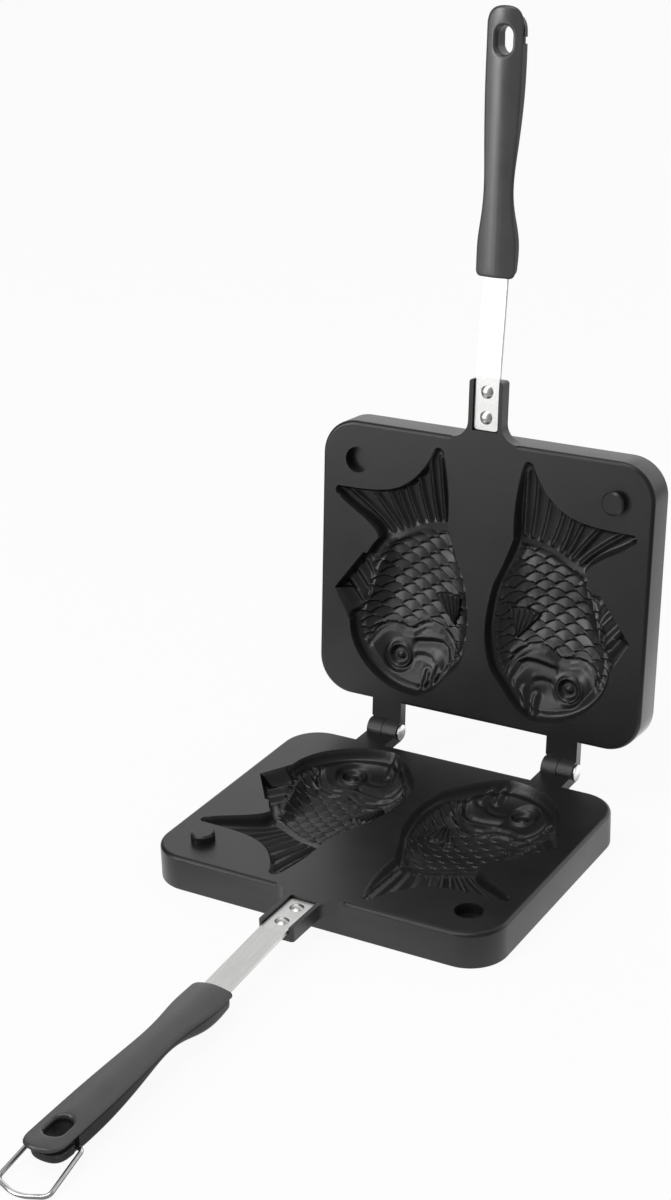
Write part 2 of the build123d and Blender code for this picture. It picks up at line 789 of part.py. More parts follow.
with BuildPart() as wire_bail:
    add(flat_bail.part.moved(bail_plane.location))
wire_bail.part.label = "wire_bail"
export_step(wire_bail.part, "parts/wire_bail.step")
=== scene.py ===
import math

import bmesh
import bpy
import numpy as np
from mathutils import Matrix, Vector


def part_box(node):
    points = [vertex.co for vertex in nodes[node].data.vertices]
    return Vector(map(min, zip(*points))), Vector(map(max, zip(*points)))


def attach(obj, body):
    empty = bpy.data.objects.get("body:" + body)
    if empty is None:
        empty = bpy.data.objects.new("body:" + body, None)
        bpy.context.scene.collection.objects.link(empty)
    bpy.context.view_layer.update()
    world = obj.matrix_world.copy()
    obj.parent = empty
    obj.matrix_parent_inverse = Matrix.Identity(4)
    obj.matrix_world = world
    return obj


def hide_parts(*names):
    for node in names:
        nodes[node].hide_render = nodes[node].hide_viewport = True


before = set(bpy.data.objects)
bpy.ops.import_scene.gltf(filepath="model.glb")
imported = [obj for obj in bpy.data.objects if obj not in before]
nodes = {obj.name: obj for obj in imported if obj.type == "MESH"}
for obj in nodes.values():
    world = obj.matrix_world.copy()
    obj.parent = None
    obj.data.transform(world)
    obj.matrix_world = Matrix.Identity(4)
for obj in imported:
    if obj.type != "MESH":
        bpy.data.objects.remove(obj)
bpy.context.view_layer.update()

# ---------------------------------------------------------------------------------------------------------
# Camera: a long lens in front of the pan, to the right of its handle and above it. The whole of the open
# pan is in the picture, from the wire at the lower left to the upper handle's tip. The focal length is
# counted in pixels, for a picture of the given height.
# ---------------------------------------------------------------------------------------------------------
view = bpy.data.cameras.new("view")
focal_length, picture_height = 2209.2, 1200.0
view.sensor_width = 36.0
view.sensor_fit = "AUTO"
view.lens = view.sensor_width * focal_length / picture_height
view.clip_end = 50.0
camera = bpy.data.objects.new("camera", view)
camera.location = (0.39242, -0.75693, 0.45399)
camera.rotation_euler = [math.radians(a) for a in (67.0264, 1.5910, 30.0806)]
bpy.context.scene.collection.objects.link(camera)
bpy.context.scene.camera = camera


# ---------------------------------------------------------------------------------------------------------
# Studio: a pale floor that keeps a soft shadow, a plain white surround and two soft lamps. The pan gets
# much of its tone from what it mirrors: mirrors see painted light and painted shade on the floor, and lit
# and unlit parts of the surround.
# ---------------------------------------------------------------------------------------------------------
class Value:
    """A shader socket that takes part in sums. Each operator adds a Math node."""

    def __init__(self, material, socket):
        self.material, self.socket = material, socket

    def node(self, kind, settings=None, out=0, **sockets):
        """Adds a node: settings, then values or links for its sockets by name, or i0, i1 by number."""
        tree = self.material.node_tree
        made = tree.nodes.new("ShaderNode" + kind)
        for name, setting in (settings or {}).items():
            setattr(made, name, setting)
        for name, given in sockets.items():
            key = int(name[1:]) if name[0] == "i" and name[1:].isdigit() else name.replace("_", " ")
            if isinstance(given, Value):
                tree.links.new(given.socket, made.inputs[key])
            else:
                made.inputs[key].default_value = given
        return Value(self.material, made.outputs[out])

    def math(self, operation, first, second):
        return self.node("Math", {"operation": operation}, i0=first, i1=second)

    def __add__(self, other):
        return self.math("ADD", self, other)

    __radd__ = __add__

    def __mul__(self, other):
        return self.math("MULTIPLY", self, other)

    __rmul__ = __mul__

    def __sub__(self, other):
        return self.math("SUBTRACT", self, other)

    def __rsub__(self, other):
        return self.math("SUBTRACT", other, self)

    def clamp(self, low, high):
        """This value from low to high, stretched to 0 to 1."""
        return self.node("MapRange", {"clamp": True}, Value=self, From_Min=low, From_Max=high)

    def dot(self, direction):
        """How far this vector reaches along a direction."""
        return self.node("VectorMath", {"operation": "DOT_PRODUCT"}, out="Value", i0=self, i1=direction)

    def mix(self, first, second):
        """A colour between two: the first where this value is 0, the second where it is 1."""
        return self.node("Mix", {"data_type": "RGBA"}, out=2, Factor=self, i6=first, i7=second)


def surface(name, **fixed):
    """A material with a Principled shader: gives both, and a value that adds nodes to the material."""
    material = bpy.data.materials.new(name)
    material.use_nodes = True
    shader = material.node_tree.nodes["Principled BSDF"]
    for socket, given in fixed.items():
        shader.inputs[socket.replace("_", " ")].default_value = given
    return material, shader, Value(material, None)


def feed(shader, **links):
    """Links values to sockets of the shader."""
    for socket, given in links.items():
        given.material.node_tree.links.new(given.socket, shader.inputs[socket.replace("_", " ")])


def paint(obj, material):
    """Gives the whole piece one material."""
    obj.data.materials.clear()
    obj.data.materials.append(material)


sharp_angle = math.radians(38)


def make_piece(shape, name, material):
    """Makes an object from a bmesh, with its real edges sharp."""
    for edge in shape.edges:
        edge.smooth = not (len(edge.link_faces) == 2 and edge.calc_face_angle(0.0) > sharp_angle)
    mesh = bpy.data.meshes.new(name)
    shape.to_mesh(mesh)
    shape.free()
    obj = bpy.data.objects.new(name, mesh)
    bpy.context.scene.collection.objects.link(obj)
    paint(obj, material)
    return obj


white = (1.0, 1.0, 1.0, 1.0)
floor_size = 12.0
floor_white, floor_shader, at = surface("floor_white", Roughness=0.9, Base_Color=(0.86, 0.86, 0.86, 1.0))
tree = floor_white.node_tree
seen = at.node("LightPath", out="Is Camera Ray")
mirrored = at.node("LightPath", out="Is Glossy Ray")
through = at.node("LightPath", out="Is Transmission Ray")
spot = at.node("TexCoord", out="Object")
way = at.node("VectorMath", {"operation": "NORMALIZE"}, i0=spot)
reach = at.node("VectorMath", {"operation": "LENGTH"}, out="Value", i0=spot)
# for mirrors the floor glows with painted light at the front left, round the pan and behind it
front_left = way.dot((-0.515, -0.857, 0.0)).clamp(0.3, 1.0)
close_by = 1.0 - reach.clamp(0.14, 0.26)
behind = at.node("SeparateXYZ", out="Y", Vector=way).clamp(0.15, 0.8)
painted_light_and_shade = front_left * (reach.clamp(0.6, 1.0) * 0.42 + 0.12) + close_by * 0.9 + 0.16
painted_light_and_shade += behind * (0.9 - reach.clamp(0.4, 0.9) * 0.55)
# the painted light is brightest in a far patch that the lid's face mirrors, and a painted shadow lies below
# the hinge
painted_light_and_shade += way.dot((-0.616, -0.788, 0.0)).clamp(0.9, 1.0) * reach.clamp(0.85, 1.3) * 2.2
painted_light_and_shade *= reach.clamp(0.055, 0.085) * 0.85 + 0.15
glow = tree.nodes.new("ShaderNodeEmission")
glow.inputs["Color"].default_value = white
tree.links.new((mirrored * (painted_light_and_shade - 1.0) + 1.0).socket, glow.inputs["Strength"])
mixed = tree.nodes.new("ShaderNodeMixShader")
# the camera sees mostly glow and a little of the shadow
glow_share = (seen * 0.93 + mirrored + through * 0.9).clamp(0.0, 1.0)
tree.links.new(glow_share.socket, mixed.inputs[0])
tree.links.new(floor_shader.outputs[0], mixed.inputs[1])
tree.links.new(glow.outputs[0], mixed.inputs[2])
tree.links.new(mixed.outputs[0], tree.nodes["Material Output"].inputs[0])
ground = bmesh.new()
bmesh.ops.create_grid(ground, x_segments=1, y_segments=1, size=floor_size)
floor = make_piece(ground, "floor", floor_white)

# Mirrors see a lit wall behind the pan, a dark one at its left, and a small window at the front left that
# draws the streak on the upper handle. The camera sees plain white.
world = bpy.data.worlds.new("surround")
bpy.context.scene.world = world
world.use_nodes = True
at = Value(world, None)
seen = at.node("LightPath", out="Is Camera Ray")
mirrored = at.node("LightPath", out="Is Glossy Ray")
way = at.node("TexCoord", out="Generated")
dark_left = way.dot((-0.985, 0.17, 0.0)).clamp(0.75, 0.95)
window = way.dot((-0.614, -0.785, 0.08)).clamp(0.973, 1.0)
wall = at.node("SeparateXYZ", out="Y", Vector=way).clamp(0.2, 0.8) * 0.9 + 0.28
wall = wall * (1.0 - dark_left * 0.8) + window * 10.0
fill = 0.48
glow = world.node_tree.nodes["Background"]
glow.inputs["Color"].default_value = white
light = (1.0 - seen) * (mirrored * wall + (1.0 - mirrored) * fill) + seen
world.node_tree.links.new(light.socket, glow.inputs["Strength"])


def lamp(name, place, target, size, power):
    """A square soft lamp that looks at a point, with its size in metres and power in watts."""
    light = bpy.data.lights.new(name, "AREA")
    light.size = size
    light.energy = power
    obj = bpy.data.objects.new(name, light)
    obj.location = place
    obj.rotation_euler = (Vector(target) - Vector(place)).to_track_quat("-Z", "Y").to_euler()
    obj.visible_camera = False
    bpy.context.scene.collection.objects.link(obj)


lamp("key_lamp", (-0.63, -1.05, 0.95), (0.0, -0.02, 0.1), 1.0, 6.0)
lamp("top_lamp", (-0.1, -0.5, 1.5), (0.0, -0.02, 0.05), 0.7, 5.5)

bpy.context.scene.view_settings.view_transform = "Standard"

# ---------------------------------------------------------------------------------------------------------
# Castings: two equal die castings of aluminium with a satin, finely grained black coating, the upper one
# turned over about the hinge. Each has two fish moulds in its flat face, one the mirror of the other, with
# eye, gill cover, scales and rayed fins.
# ---------------------------------------------------------------------------------------------------------
MM = 0.001
hinge_y, hinge_z = 14.7, 15.4
face_z = 15.2
open_angle = 95.3
hinge = Vector((0.0, hinge_y, hinge_z)) * MM
turned_over = (
    Matrix.Translation(hinge)
    @ Matrix.Rotation(math.radians(-open_angle), 4, "X")
    @ Matrix.Rotation(math.pi, 4, "Y")
    @ Matrix.Translation(-hinge)
)
merge_distance = 2e-6


def from_node(name):
    """A copy of a CAD node's mesh, with its vertices merged."""
    copy = bmesh.new()
    copy.from_mesh(nodes[name].data)
    bmesh.ops.remove_doubles(copy, verts=copy.verts, dist=merge_distance)
    return copy


def smooth(x, low, high):
    """0 below low, 1 above high, and an even S between."""
    t = np.clip((x - low) / (high - low), 0.0, 1.0)
    return t * t * (3.0 - 2.0 * t)


def to_line(px, py, line, closed=False):
    """Distance from points to a run of straight pieces, and the nearest point on it."""
    line = np.array(line, float)
    ends = np.roll(line, -1, axis=0) if closed else line[1:]
    starts = line if closed else line[:-1]
    best = np.full(px.shape, 1e9)
    near = np.zeros(px.shape + (2,))
    for (ax, ay), (bx, by) in zip(starts, ends):
        dx, dy = bx - ax, by - ay
        t = np.clip(((px - ax) * dx + (py - ay) * dy) / max(dx * dx + dy * dy, 1e-12), 0.0, 1.0)
        qx, qy = ax + t * dx, ay + t * dy
        gap = np.hypot(px - qx, py - qy)
        closer = gap < best
        best = np.where(closer, gap, best)
        near[closer] = np.stack([qx, qy], -1)[closer]
    return best, near


def within(px, py, line):
    """Which points lie inside a closed outline."""
    line = np.array(line, float)
    inside = np.zeros(px.shape, bool)
    for (ax, ay), (bx, by) in zip(line, np.roll(line, -1, axis=0)):
        crosses = (ay > py) != (by > py)
        with np.errstate(divide="ignore", invalid="ignore"):
            inside ^= crosses & (px < (bx - ax) * (py - ay) / (by - ay) + ax)
    return inside


def inset(px, py, line):
    """How far inside a closed outline each point lies, and 0 outside it."""
    gap, _ = to_line(px, py, line, closed=True)
    return np.where(within(px, py, line), gap, 0.0)


def hump(x, middle, width):
    """1 at the middle, and falling smoothly to 0 on both sides."""
    return np.exp(-(((x - middle) / width) ** 2))


def bent(points, count=24):
    """A smooth run through three points."""
    (ax, ay), (bx, by), (cx, cy) = points
    t = np.linspace(0.0, 1.0, count)
    kx, ky = 2 * bx - (ax + cx) / 2, 2 * by - (ay + cy) / 2
    return np.stack([
        (1 - t) ** 2 * ax + 2 * t * (1 - t) * kx + t * t * cx,
        (1 - t) ** 2 * ay + 2 * t * (1 - t) * ky + t * t * cy,
    ], -1)


# The fish is measured outwards from the middle of the pan and along from the hinge, in millimetres.
fin_depth = 5.0
body_depth = 10.2
# the seam between the body and its fins: under the dorsal fin, then across the root of the tail
fin_seam = [
    (62.5, 48.2), (62.0, 55.0), (59.0, 63.0), (57.2, 71.0), (55.6, 78.5), (52.4, 80.6), (49.9, 85.0),
    (48.8, 88.0), (45.4, 88.8), (39.4, 91.5), (31.5, 95.4), (23.5, 97.5), (15.3, 98.4),
]
gill_edge = [
    (11.0, 33.0), (12.5, 40.0), (15.0, 44.0), (18.0, 47.0), (21.5, 49.3), (26.0, 50.3), (30.0, 49.5),
    (33.0, 47.5), (35.5, 45.8), (40.0, 45.6), (44.0, 46.8), (48.0, 46.4), (52.0, 43.6), (56.0, 38.0),
]
cheek_edge = [
    (12.5, 30.0), (15.5, 37.5), (17.3, 41.0), (20.5, 42.7), (25.0, 42.6), (30.0, 41.8), (36.0, 40.6),
]
cheek_fold = [(22.6, 33.6), (25.6, 35.2), (29.0, 35.8), (32.4, 35.2), (35.4, 33.6)]
# steps of the head: line, height and breadth
head_steps = [(gill_edge, 1.2, 1.5), (cheek_edge, 1.1, 1.6), (cheek_fold, 0.35, 1.2)]
# folds of the mouth: height, and three points to run through
mouth_folds = [
    (0.8, ((29.4, 15.6), (27.0, 20.5), (26.4, 28.0))),
    (0.7, ((25.2, 16.6), (22.6, 22.5), (21.0, 31.0))),
]
eye, eye_depth = (40.8, 33.2), 7.9
tail_ridges = [
    ((44.2, 90.6), (52.5, 98.6), (64.0, 107.2)),
    ((40.4, 92.0), (46.2, 99.4), (53.0, 107.8)),
    ((37.4, 93.2), (41.8, 101.0), (46.0, 109.6)),
    ((35.0, 94.4), (38.6, 102.6), (41.4, 111.2)),
    ((30.8, 96.2), (34.4, 104.6), (37.0, 113.4)),
    ((26.3, 98.0), (29.2, 108.4), (31.0, 118.6)),
    ((22.2, 99.2), (24.2, 112.4), (25.2, 126.5)),
    ((18.6, 99.6), (19.4, 112.0), (20.4, 128.0)),
]
chest_fin = [
    (15.0, 51.0), (20.5, 57.2), (25.6, 63.4), (23.6, 65.2), (18.0, 66.2), (11.4, 65.6), (12.6, 57.5),
]
chest_fin_root = (14.4, 47.0)
# rows of scales are counted from the one behind the gill cover's end
scale_pitch, scale_width, scale_bulge, scale_length = 3.74, 9.3, 2.1, 5.6
scale_rows, row_start = range(-5, 16), (36.8, 52.1)


def mould_depth(out, along, outline):
    """Depth of the mould below the face at each point, in millimetres."""
    edge, near = to_line(out, along, outline, closed=True)
    # fins and tail: a steep wall with a soft lip, gentle beside the dorsal fin; the tail thins to its tips
    beside = smooth(near[:, 1], 49.0, 51.5) * (1.0 - smooth(near[:, 1], 60.5, 62.0))
    wall = 1.0 + 3.2 * beside * smooth(near[:, 0], 61.5, 63.5)
    spread = np.hypot(out - 33.0, along - 60.0)
    at_tail = smooth(along, 82.0, 92.0)
    thinned = fin_depth + at_tail * (0.9 - 0.115 * np.clip(spread - 36.0, 0.0, 40.0))
    fins = thinned * (1.0 - np.exp(-((edge / wall) ** 1.6)))
    # body: a bowl with a broad sloping wall, shallower towards the tail
    outline = np.array(outline)
    seam = np.array(fin_seam)
    first = np.argmin(np.hypot(*(outline - seam[0]).T))
    last = np.argmin(np.hypot(*(outline - seam[-1]).T))
    ring = np.roll(outline, -first, axis=0)
    last = (last - first) % len(outline)
    belly = ring[: last + 1]
    if belly[:, 1].min() >= 25.0:
        belly = np.vstack([ring[last:], ring[:1]])[::-1]
    body = np.vstack([belly, seam[::-1][1:-1]])
    deep = inset(out, along, body)
    reach = (5.0 + 1.8 * smooth(out, 44.0, 54.0)) * (1.0 - 0.78 * smooth(along, 74.0, 92.0))
    gill = np.interp(out, *np.array(gill_edge).T)
    head = 1.0 - smooth(along - gill, -1.0, 0.4)
    floor_depth = body_depth - 4.6 * smooth(along, 60.0, 99.0)
    floor_depth -= head * (1.7 - 0.8 * smooth(along, 33.0, 43.0))
    bowl = floor_depth * (1.0 - np.exp(-((deep / reach) ** 1.2)))
    depth = np.maximum(fins, bowl)

    # rows of overlapping scales, each deepest at its free edge
    scale = np.zeros(out.shape)
    covered = np.zeros(out.shape, bool)
    bow = 0.0085 * (out - 38.0) ** 2
    for row in scale_rows:
        middle = (out - row_start[0]) / scale_width + 0.5 * (row % 2)
        across = (middle - np.round(middle)) * 2.0
        free = row_start[1] + row * scale_pitch - scale_bulge * np.abs(across) ** 1.8 - bow
        here = (along < free) & ~covered
        back = free - along
        lift = 1.5 * np.clip(1.0 - back / scale_length, 0.0, 1.0) * smooth(back, -0.3, 1.0)
        scale = np.where(here, lift - 0.12 * across**2, scale)
        covered |= here
    scale *= smooth(along - gill, 0.0, 0.6) * smooth(deep, 1.6, 5.0) * (1.0 - smooth(along, 96.5, 98.5))
    depth += scale

    # gill cover and cheek: steps that sweep under the eye, then the folds of the mouth
    for line, rise, breadth in head_steps:
        gap, _ = to_line(out, along, line)
        ahead = np.where(along < np.interp(out, *np.array(line).T), gap, -gap)
        start, end = line[0][0], line[-1][0]
        ends = smooth(out, start, start + 3.0) * (1.0 - smooth(out, end - 3.0, end))
        step = rise * (hump(ahead, 0.9, breadth) - 0.55 * hump(ahead, -1.5, 1.2))
        depth += step * ends * smooth(deep, 1.4, 3.6)
    for rise, line in mouth_folds:
        gap, _ = to_line(out, along, bent(line))
        lips = 0.3 * hump(gap, 2.1, 1.0) - hump(gap, 0.0, 1.1)
        depth += rise * lips * smooth(edge, 0.3, 1.6)

    # eye: a pad with a ring round a pit, and a knob in its middle
    away = np.hypot(out - eye[0], along - eye[1])
    pad = 1.0 - smooth(away, 5.8, 8.0)
    depth += pad * (eye_depth - depth) * 0.8
    depth += 0.35 * hump(away, 6.5, 0.7) - 0.6 * hump(away, 5.2, 0.55)
    depth += 1.5 * (1.0 - smooth(away, 3.2, 4.8))
    depth -= 0.9 * np.sqrt(np.clip(1.0 - (away / 1.9) ** 2, 0.0, 1.0))

    # chest fin: a rayed fan that lies on the scales
    gap = inset(out, along, chest_fin)
    turn = np.arctan2(out - chest_fin_root[0], along - chest_fin_root[1])
    rays = 0.45 * np.cos(turn * 42.0) * smooth(gap, 0.2, 1.2)
    depth -= smooth(gap, 0.0, 0.7) * (1.1 + scale + rays)

    # dorsal fin: broad slanting folds
    slant = ((along - 48.0) * 0.64 - (out - 62.0) * 0.77) / 6.5
    dorsal = smooth(out, 53.0, 56.0) * (1.0 - smooth(along, 79.0, 80.5)) * smooth(along, 52.0, 56.0)
    dorsal *= (1.0 - smooth(deep, 3.0, 5.5)) * smooth(edge, 0.7, 2.0)
    depth += dorsal * (0.5 + 0.75 * np.cos(2.0 * np.pi * (slant - 0.94)))

    # tail: rays that fan out from its root, with hollows between them
    root, _ = to_line(out, along, fin_seam)
    tail = smooth(edge, 0.4, 1.6) * (1.0 - smooth(deep, 0.0, 0.2))
    tail *= smooth(along, 88.0, 91.0) * smooth(root, 0.0, 2.5)
    nearest = np.full(out.shape, 9.0)
    for ridge in tail_ridges:
        gap, _ = to_line(out, along, bent(ridge))
        nearest = np.minimum(nearest, gap)
    depth += tail * (0.55 * smooth(nearest, 0.6, 2.0) - 1.2 * hump(nearest, 0.0, 0.75))
    return np.maximum(depth, 0.0) * smooth(edge, -0.01, 0.1)


mould_middle = (33.3, -43.5)
grid_step = 0.34
on_the_line = 2e-7


def cut_mould(casting, side):
    """Replaces a casting's plain mould by the detailed one; side is -1 for the left and 1 for the right."""
    middle = Vector((side * mould_middle[0], mould_middle[1])) * MM
    floor_faces = [
        f for f in casting.faces
        if f.normal.z > 0.5 and 2.0 * MM < f.calc_center_median().z < 10.0 * MM
    ]
    # the plain mould: all faces that join its floor, up to the casting's face
    seed = min(floor_faces, key=lambda f: (f.calc_center_median().xy - middle).length)
    found, to_visit = {seed}, [seed]
    while to_visit:
        face = to_visit.pop()
        for edge in face.edges:
            for other in edge.link_faces:
                if other not in found and any(v.co.z <= (face_z - 0.005) * MM for v in other.verts):
                    found.add(other)
                    to_visit.append(other)
    # its outline, followed from the first edge, so that each run gives the same mesh
    rim = [e for e in casting.edges if sum(f in found for f in e.link_faces) == 1]
    bmesh.ops.delete(casting, geom=[f for f in casting.faces if f in found], context="FACES")
    loop, corner, edge = [rim[0].verts[0].co.copy()], rim[0].verts[1], rim[0]
    while corner.co != loop[0]:
        loop.append(corner.co.copy())
        edge = next(e for e in corner.link_edges if e in rim and e != edge)
        corner = edge.other_vert(corner)
    outline = [(abs(p.x) / MM, hinge_y - p.y / MM) for p in loop]

    # a fine sheet over the opening, trimmed and drawn to the outline
    low, high = np.min(outline, 0) - grid_step, np.max(outline, 0) + grid_step
    columns, rows = [int(math.ceil(n / grid_step)) for n in high - low]
    sheet = bmesh.new()
    bmesh.ops.create_grid(sheet, x_segments=columns, y_segments=rows, size=0.5)
    flat = np.array([v.co[:2] for v in sheet.verts])
    for vert, (a, b) in zip(sheet.verts, (flat + 0.5) * (high - low) + low):
        vert.co = (a, b, 0.0)
    centres = np.array([f.calc_center_median()[:2] for f in sheet.faces])
    inside = inset(centres[:, 0], centres[:, 1], outline) > 0.3 * grid_step
    outside = [f for f, kept in zip(sheet.faces, inside) if not kept]
    bmesh.ops.delete(sheet, geom=outside, context="FACES")
    border = [v for v in sheet.verts if v.is_boundary]
    bx, by = np.array([v.co[:2] for v in border]).T
    _, near = to_line(bx, by, outline, closed=True)
    for vert, place in zip(border, near):
        vert.co = (place[0], place[1], 0.0)
    free = list(border)
    for corner in outline:
        vert = min(free, key=lambda v: (v.co.xy - Vector(corner)).length)
        vert.co = (corner[0], corner[1], 0.0)
        free.remove(vert)
    # where the sheet's border would double back at a corner, its two vertices change places
    for line in [e for e in sheet.edges if e.is_boundary]:
        a, b = line.verts
        before = next(e for e in a.link_edges if e.is_boundary and e != line).other_vert(a)
        after = next(e for e in b.link_edges if e.is_boundary and e != line).other_vert(b)
        as_is = (before.co - a.co).length + (b.co - after.co).length
        swapped = (before.co - b.co).length + (a.co - after.co).length
        if swapped < as_is - 1e-6:
            a.co, b.co = b.co.copy(), a.co.copy()
    out, along = np.array([v.co[:2] for v in sheet.verts]).T
    depth = mould_depth(out, along, outline)
    edge_verts = set(border)
    for vert, a, b, d in zip(sheet.verts, out, along, depth):
        vert.co = Vector((side * a, hinge_y - b, face_z - (0.0 if vert in edge_verts else d))) * MM
    sheet.normal_update()
    if sum(f.normal.z * f.calc_area() for f in sheet.faces) < 0:
        bmesh.ops.reverse_faces(sheet, faces=sheet.faces)

    # the face's edge gets the sheet's vertices, so that the two close up
    stops = np.array([v.co[:] for v in border])
    for line in rim:
        start, end = line.verts
        run = np.array(end.co - start.co)
        t = (stops - np.array(start.co)) @ run / (run @ run)
        off = np.linalg.norm(stops - np.array(start.co) - t[:, None] * run, axis=1)
        on = sorted((t[i], i) for i in np.nonzero((off < on_the_line) & (t > 1e-4) & (t < 1 - 1e-4))[0])
        done = 0.0
        for stop, i in on:
            if stop - done < 1e-5:
                continue
            _, start = bmesh.utils.edge_split(line, start, (stop - done) / (1.0 - done))
            start.co = Vector(stops[i])
            done = stop
    mesh = bpy.data.meshes.new("mould")
    sheet.to_mesh(mesh)
    sheet.free()
    casting.from_mesh(mesh)
    bpy.data.meshes.remove(mesh)
    seam_verts = [v for v in casting.verts if v.is_boundary]
    bmesh.ops.remove_doubles(casting, verts=seam_verts, dist=merge_distance)


coated, shader, at = surface("coated_casting", IOR=1.5, Specular_IOR_Level=0.5)
place = at.node("TexCoord", out="Object")
grain = at.node("TexNoise", Vector=place, Scale=2600.0, Detail=3.0, Roughness=0.6)
cloud = at.node("TexNoise", Vector=place, Scale=55.0, Detail=4.0, Roughness=0.55)
speck = at.node("TexVoronoi", {"feature": "F1"}, Vector=place, Scale=900.0)
# a painted highlight makes raised detail a little paler, but not on flat faces, whose long triangles would
# smear it
on_curves = at.node("Attribute", {"attribute_name": "curved"}, out="Fac")
painted_ridge_highlight = at.node("NewGeometry", out="Pointiness").clamp(0.515, 0.56) * on_curves
shade = (cloud * 0.6 + grain * 0.4).clamp(0.3, 0.7)
tone = shade.mix((0.006, 0.006, 0.0063, 1.0), (0.012, 0.012, 0.0124, 1.0))
tone = (painted_ridge_highlight * 0.35).mix(tone, (0.06, 0.06, 0.062, 1.0))
satin = 0.345 + (cloud - 0.5) * 0.12 + (grain - 0.5) * 0.1
bump = at.node("Bump", Height=grain * 0.75 + speck * 0.35, Strength=0.15, Distance=0.00012)
feed(shader, Base_Color=tone, Roughness=satin, Normal=bump)

lower = from_node("lower_plate")
for side in (-1, 1):
    cut_mould(lower, side)
lower.normal_update()
curved = lower.faces.layers.float.new("curved")
flat_enough = 0.9999
for face in lower.faces:
    face.smooth = abs(face.normal.z) < flat_enough
    face[curved] = float(face.smooth)
upper = lower.copy()
bmesh.ops.transform(upper, matrix=turned_over, verts=upper.verts)
for casting, name, body in ((lower, "lower_casting", "base"), (upper, "upper_casting", "lid")):
    piece = make_piece(casting, name, coated)
    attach(piece, body)
    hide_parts(name.replace("casting", "plate"))

# ---------------------------------------------------------------------------------------------------------
# Hinge pins: two short bright steel pins, lightly scuffed. Each goes through an arm of both castings, and
# is held by a round head at one end and by its peened foot at the other.
# ---------------------------------------------------------------------------------------------------------
bright_pin, shader, at = surface("bright_rivet", Metallic=1.0)
place = at.node("TexCoord", out="Object")
scuff = at.node("TexNoise", Vector=place, Scale=700.0, Detail=5.0, Roughness=0.65)
tone = scuff.clamp(0.35, 0.7).mix((0.80, 0.80, 0.79, 1.0), (0.60, 0.60, 0.59, 1.0))
bump = at.node("Bump", Height=scuff, Strength=0.15, Distance=0.0001)
feed(shader, Base_Color=tone, Roughness=0.2 + scuff * 0.2, Normal=bump)
for name in ("left_hinge_pin", "right_hinge_pin"):
    paint(nodes[name], bright_pin)

# ---------------------------------------------------------------------------------------------------------
# Strap rivets: two to each strap, of the same bright steel as the pins. Each goes through the strap and the
# casting's boss, and has a low domed head.
# ---------------------------------------------------------------------------------------------------------
for half in ("lower", "upper"):
    for which_end in ("inner", "outer"):
        paint(nodes[half + "_strap_" + which_end + "_rivet"], bright_pin)


# ---------------------------------------------------------------------------------------------------------
# Straps: flat stainless bars, brushed along their length. One end is riveted in the casting's channel and
# the other is a tang inside the handle.
# ---------------------------------------------------------------------------------------------------------
def brushed(name, turn):
    """Brushed steel whose lines run along the strap; turn is the strap's lean about X, in degrees."""
    material, shader, at = surface(name, Metallic=1.0)
    place = at.node("TexCoord", out="Object")
    stretch = (1.0, 0.02, 1.0)
    along = at.node("Mapping", Vector=place, Rotation=(math.radians(turn), 0.0, 0.0), Scale=stretch)
    lines = at.node("TexNoise", Vector=along, Scale=5200.0, Detail=4.0, Roughness=0.7)
    broad = at.node("TexNoise", Vector=along, Scale=900.0, Detail=2.0)
    smear = at.node("TexNoise", Vector=place, Scale=60.0, Detail=3.0)
    shade = (lines * 0.6 + broad * 0.4).clamp(0.3, 0.7)
    tone = shade.mix((0.60, 0.60, 0.59, 1.0), (0.76, 0.76, 0.75, 1.0))
    bump = at.node("Bump", Height=lines, Strength=0.25, Distance=0.00008)
    feed(shader, Base_Color=tone, Roughness=0.26 + lines * 0.12 + smear * 0.1, Normal=bump)
    return material


for half, turn in (("lower", 0.0), ("upper", open_angle)):
    paint(nodes[half + "_strap"], brushed(half + "_brushed_strap", turn))


# ---------------------------------------------------------------------------------------------------------
# Handle grips: moulded outer shells of black heat-proof plastic, semi-gloss and finely grained. Each holds
# the strap's tang in a pocket that its cover closes.
# ---------------------------------------------------------------------------------------------------------
def grip_plastic(name, inward, rim):
    """Grip plastic with painted shade, darker and rougher in the gap under its cover; inward and rim give
    the depth below the parting.
    """
    material, shader, at = surface(name, IOR=1.5)
    place = at.node("TexCoord", out="Object")
    grain = at.node("TexNoise", Vector=place, Scale=1500.0, Detail=3.0, Roughness=0.6)
    cloud = at.node("TexNoise", Vector=place, Scale=90.0, Detail=4.0)
    depth = place.dot(inward) + rim
    # painted shade: the grip turns near black and rough in the gap under the cover's edge
    gap = 1.0 - depth.clamp(0.8 * MM, 2.2 * MM)
    tone = cloud.clamp(0.3, 0.7).mix((0.032, 0.032, 0.0325, 1.0), (0.042, 0.042, 0.0425, 1.0))
    tone = (gap * 0.95).mix(tone, (0.002, 0.002, 0.002, 1.0))
    bump = at.node("Bump", Height=grain, Strength=0.12, Distance=0.0001)
    feed(shader, Base_Color=tone, Roughness=0.30 + cloud * 0.14 + gap * 0.4, Normal=bump)
    return material


# the parting lies this far below the hinge's level, on either half
parting = 4.4 * MM
lean = math.radians(open_angle)
down, back = Vector((0.0, 0.0, -1.0)), Vector((0.0, math.sin(lean), math.cos(lean)))
for half, inward in (("lower", down), ("upper", back)):
    plastic = grip_plastic(half + "_grip_plastic", inward, -hinge.dot(inward) - parting)
    paint(nodes[half + "_handle_grip"], plastic)

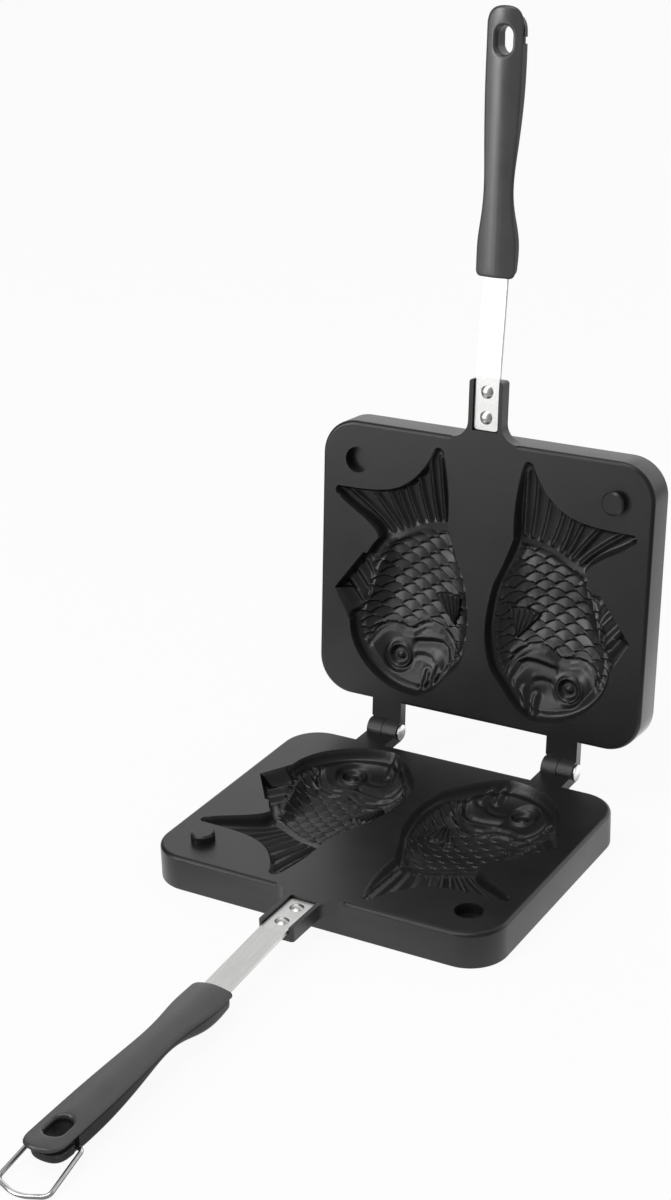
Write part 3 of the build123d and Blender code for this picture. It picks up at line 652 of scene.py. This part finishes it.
# ---------------------------------------------------------------------------------------------------------
# Handle covers: the crowned inner shells of the handles, of the same plastic but smoother and paler. Each
# closes its grip's pocket over the tang and the screws.
# ---------------------------------------------------------------------------------------------------------
cover_plastic, shader, at = surface("cover_plastic", IOR=1.5)
place = at.node("TexCoord", out="Object")
grain = at.node("TexNoise", Vector=place, Scale=1200.0, Detail=3.0, Roughness=0.6)
cloud = at.node("TexNoise", Vector=place, Scale=70.0, Detail=4.0)
tone = cloud.clamp(0.3, 0.7).mix((0.050, 0.050, 0.0505, 1.0), (0.062, 0.062, 0.0625, 1.0))
bump = at.node("Bump", Height=grain, Strength=0.08, Distance=0.0001)
feed(shader, Base_Color=tone, Roughness=0.18 + cloud * 0.1, Normal=bump)

# cut into slices, so that the sides can be drawn down towards the parting, most where they are widest
cover_half_width = 8.8 * MM
side_drop = 0.6
slice_width, slice_length = 0.8 * MM, 4.0 * MM
sliver = 4e-6
lower_cover = from_node("lower_handle_cover")
low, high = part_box("lower_handle_cover")
for across, width in ((Vector((1.0, 0.0, 0.0)), slice_width), (Vector((0.0, 1.0, 0.0)), slice_length)):
    for cut in np.arange(low.dot(across) + width, high.dot(across), width):
        parts = lower_cover.verts[:] + lower_cover.edges[:] + lower_cover.faces[:]
        bmesh.ops.bisect_plane(lower_cover, geom=parts, dist=sliver, plane_co=across * cut, plane_no=across)
bmesh.ops.remove_doubles(lower_cover, verts=lower_cover.verts, dist=sliver)
for vert in lower_cover.verts:
    rise = vert.co.z - (hinge.z - parting)
    if rise > 0.0:
        vert.co.z -= rise * side_drop * (vert.co.x / cover_half_width) ** 2
lower_cover.normal_update()
for face in lower_cover.faces:
    face.smooth = True
upper_cover = lower_cover.copy()
bmesh.ops.transform(upper_cover, matrix=turned_over, verts=upper_cover.verts)
for cover, half, body in ((lower_cover, "lower", "base"), (upper_cover, "upper", "lid")):
    piece = make_piece(cover, half + "_crowned_cover", cover_plastic)
    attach(piece, body)
    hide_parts(half + "_handle_cover")

# ---------------------------------------------------------------------------------------------------------
# Handle screws: zinc-plated steel countersunk screws, two to each handle. They hold the strap's tang in its
# grip, and the cover hides them.
# ---------------------------------------------------------------------------------------------------------
plated, shader, at = surface("screw_steel", Metallic=1.0)
place = at.node("TexCoord", out="Object")
mottle = at.node("TexNoise", Vector=place, Scale=900.0, Detail=4.0)
tone = mottle.clamp(0.3, 0.7).mix((0.50, 0.50, 0.48, 1.0), (0.64, 0.64, 0.62, 1.0))
feed(shader, Base_Color=tone, Roughness=0.3 + mottle * 0.2)
for half in ("lower", "upper"):
    for which_end in ("front", "rear"):
        paint(nodes[half + "_handle_" + which_end + "_screw"], plated)

# ---------------------------------------------------------------------------------------------------------
# Bail: one bent wire of chromed steel, whose ends turn in the lower grip. Its loop lies on the table, and
# it goes over both handles' tips when the pan is shut.
# ---------------------------------------------------------------------------------------------------------
chromed, shader, at = surface("chromed_wire", Metallic=1.0)
place = at.node("TexCoord", out="Object")
haze = at.node("TexNoise", Vector=place, Scale=500.0, Detail=5.0, Roughness=0.6)
tone = haze.clamp(0.35, 0.7).mix((0.82, 0.82, 0.82, 1.0), (0.66, 0.66, 0.66, 1.0))
bump = at.node("Bump", Height=haze, Strength=0.1, Distance=0.0001)
feed(shader, Base_Color=tone, Roughness=0.12 + haze * 0.12, Normal=bump)
paint(nodes["wire_bail"], chromed)
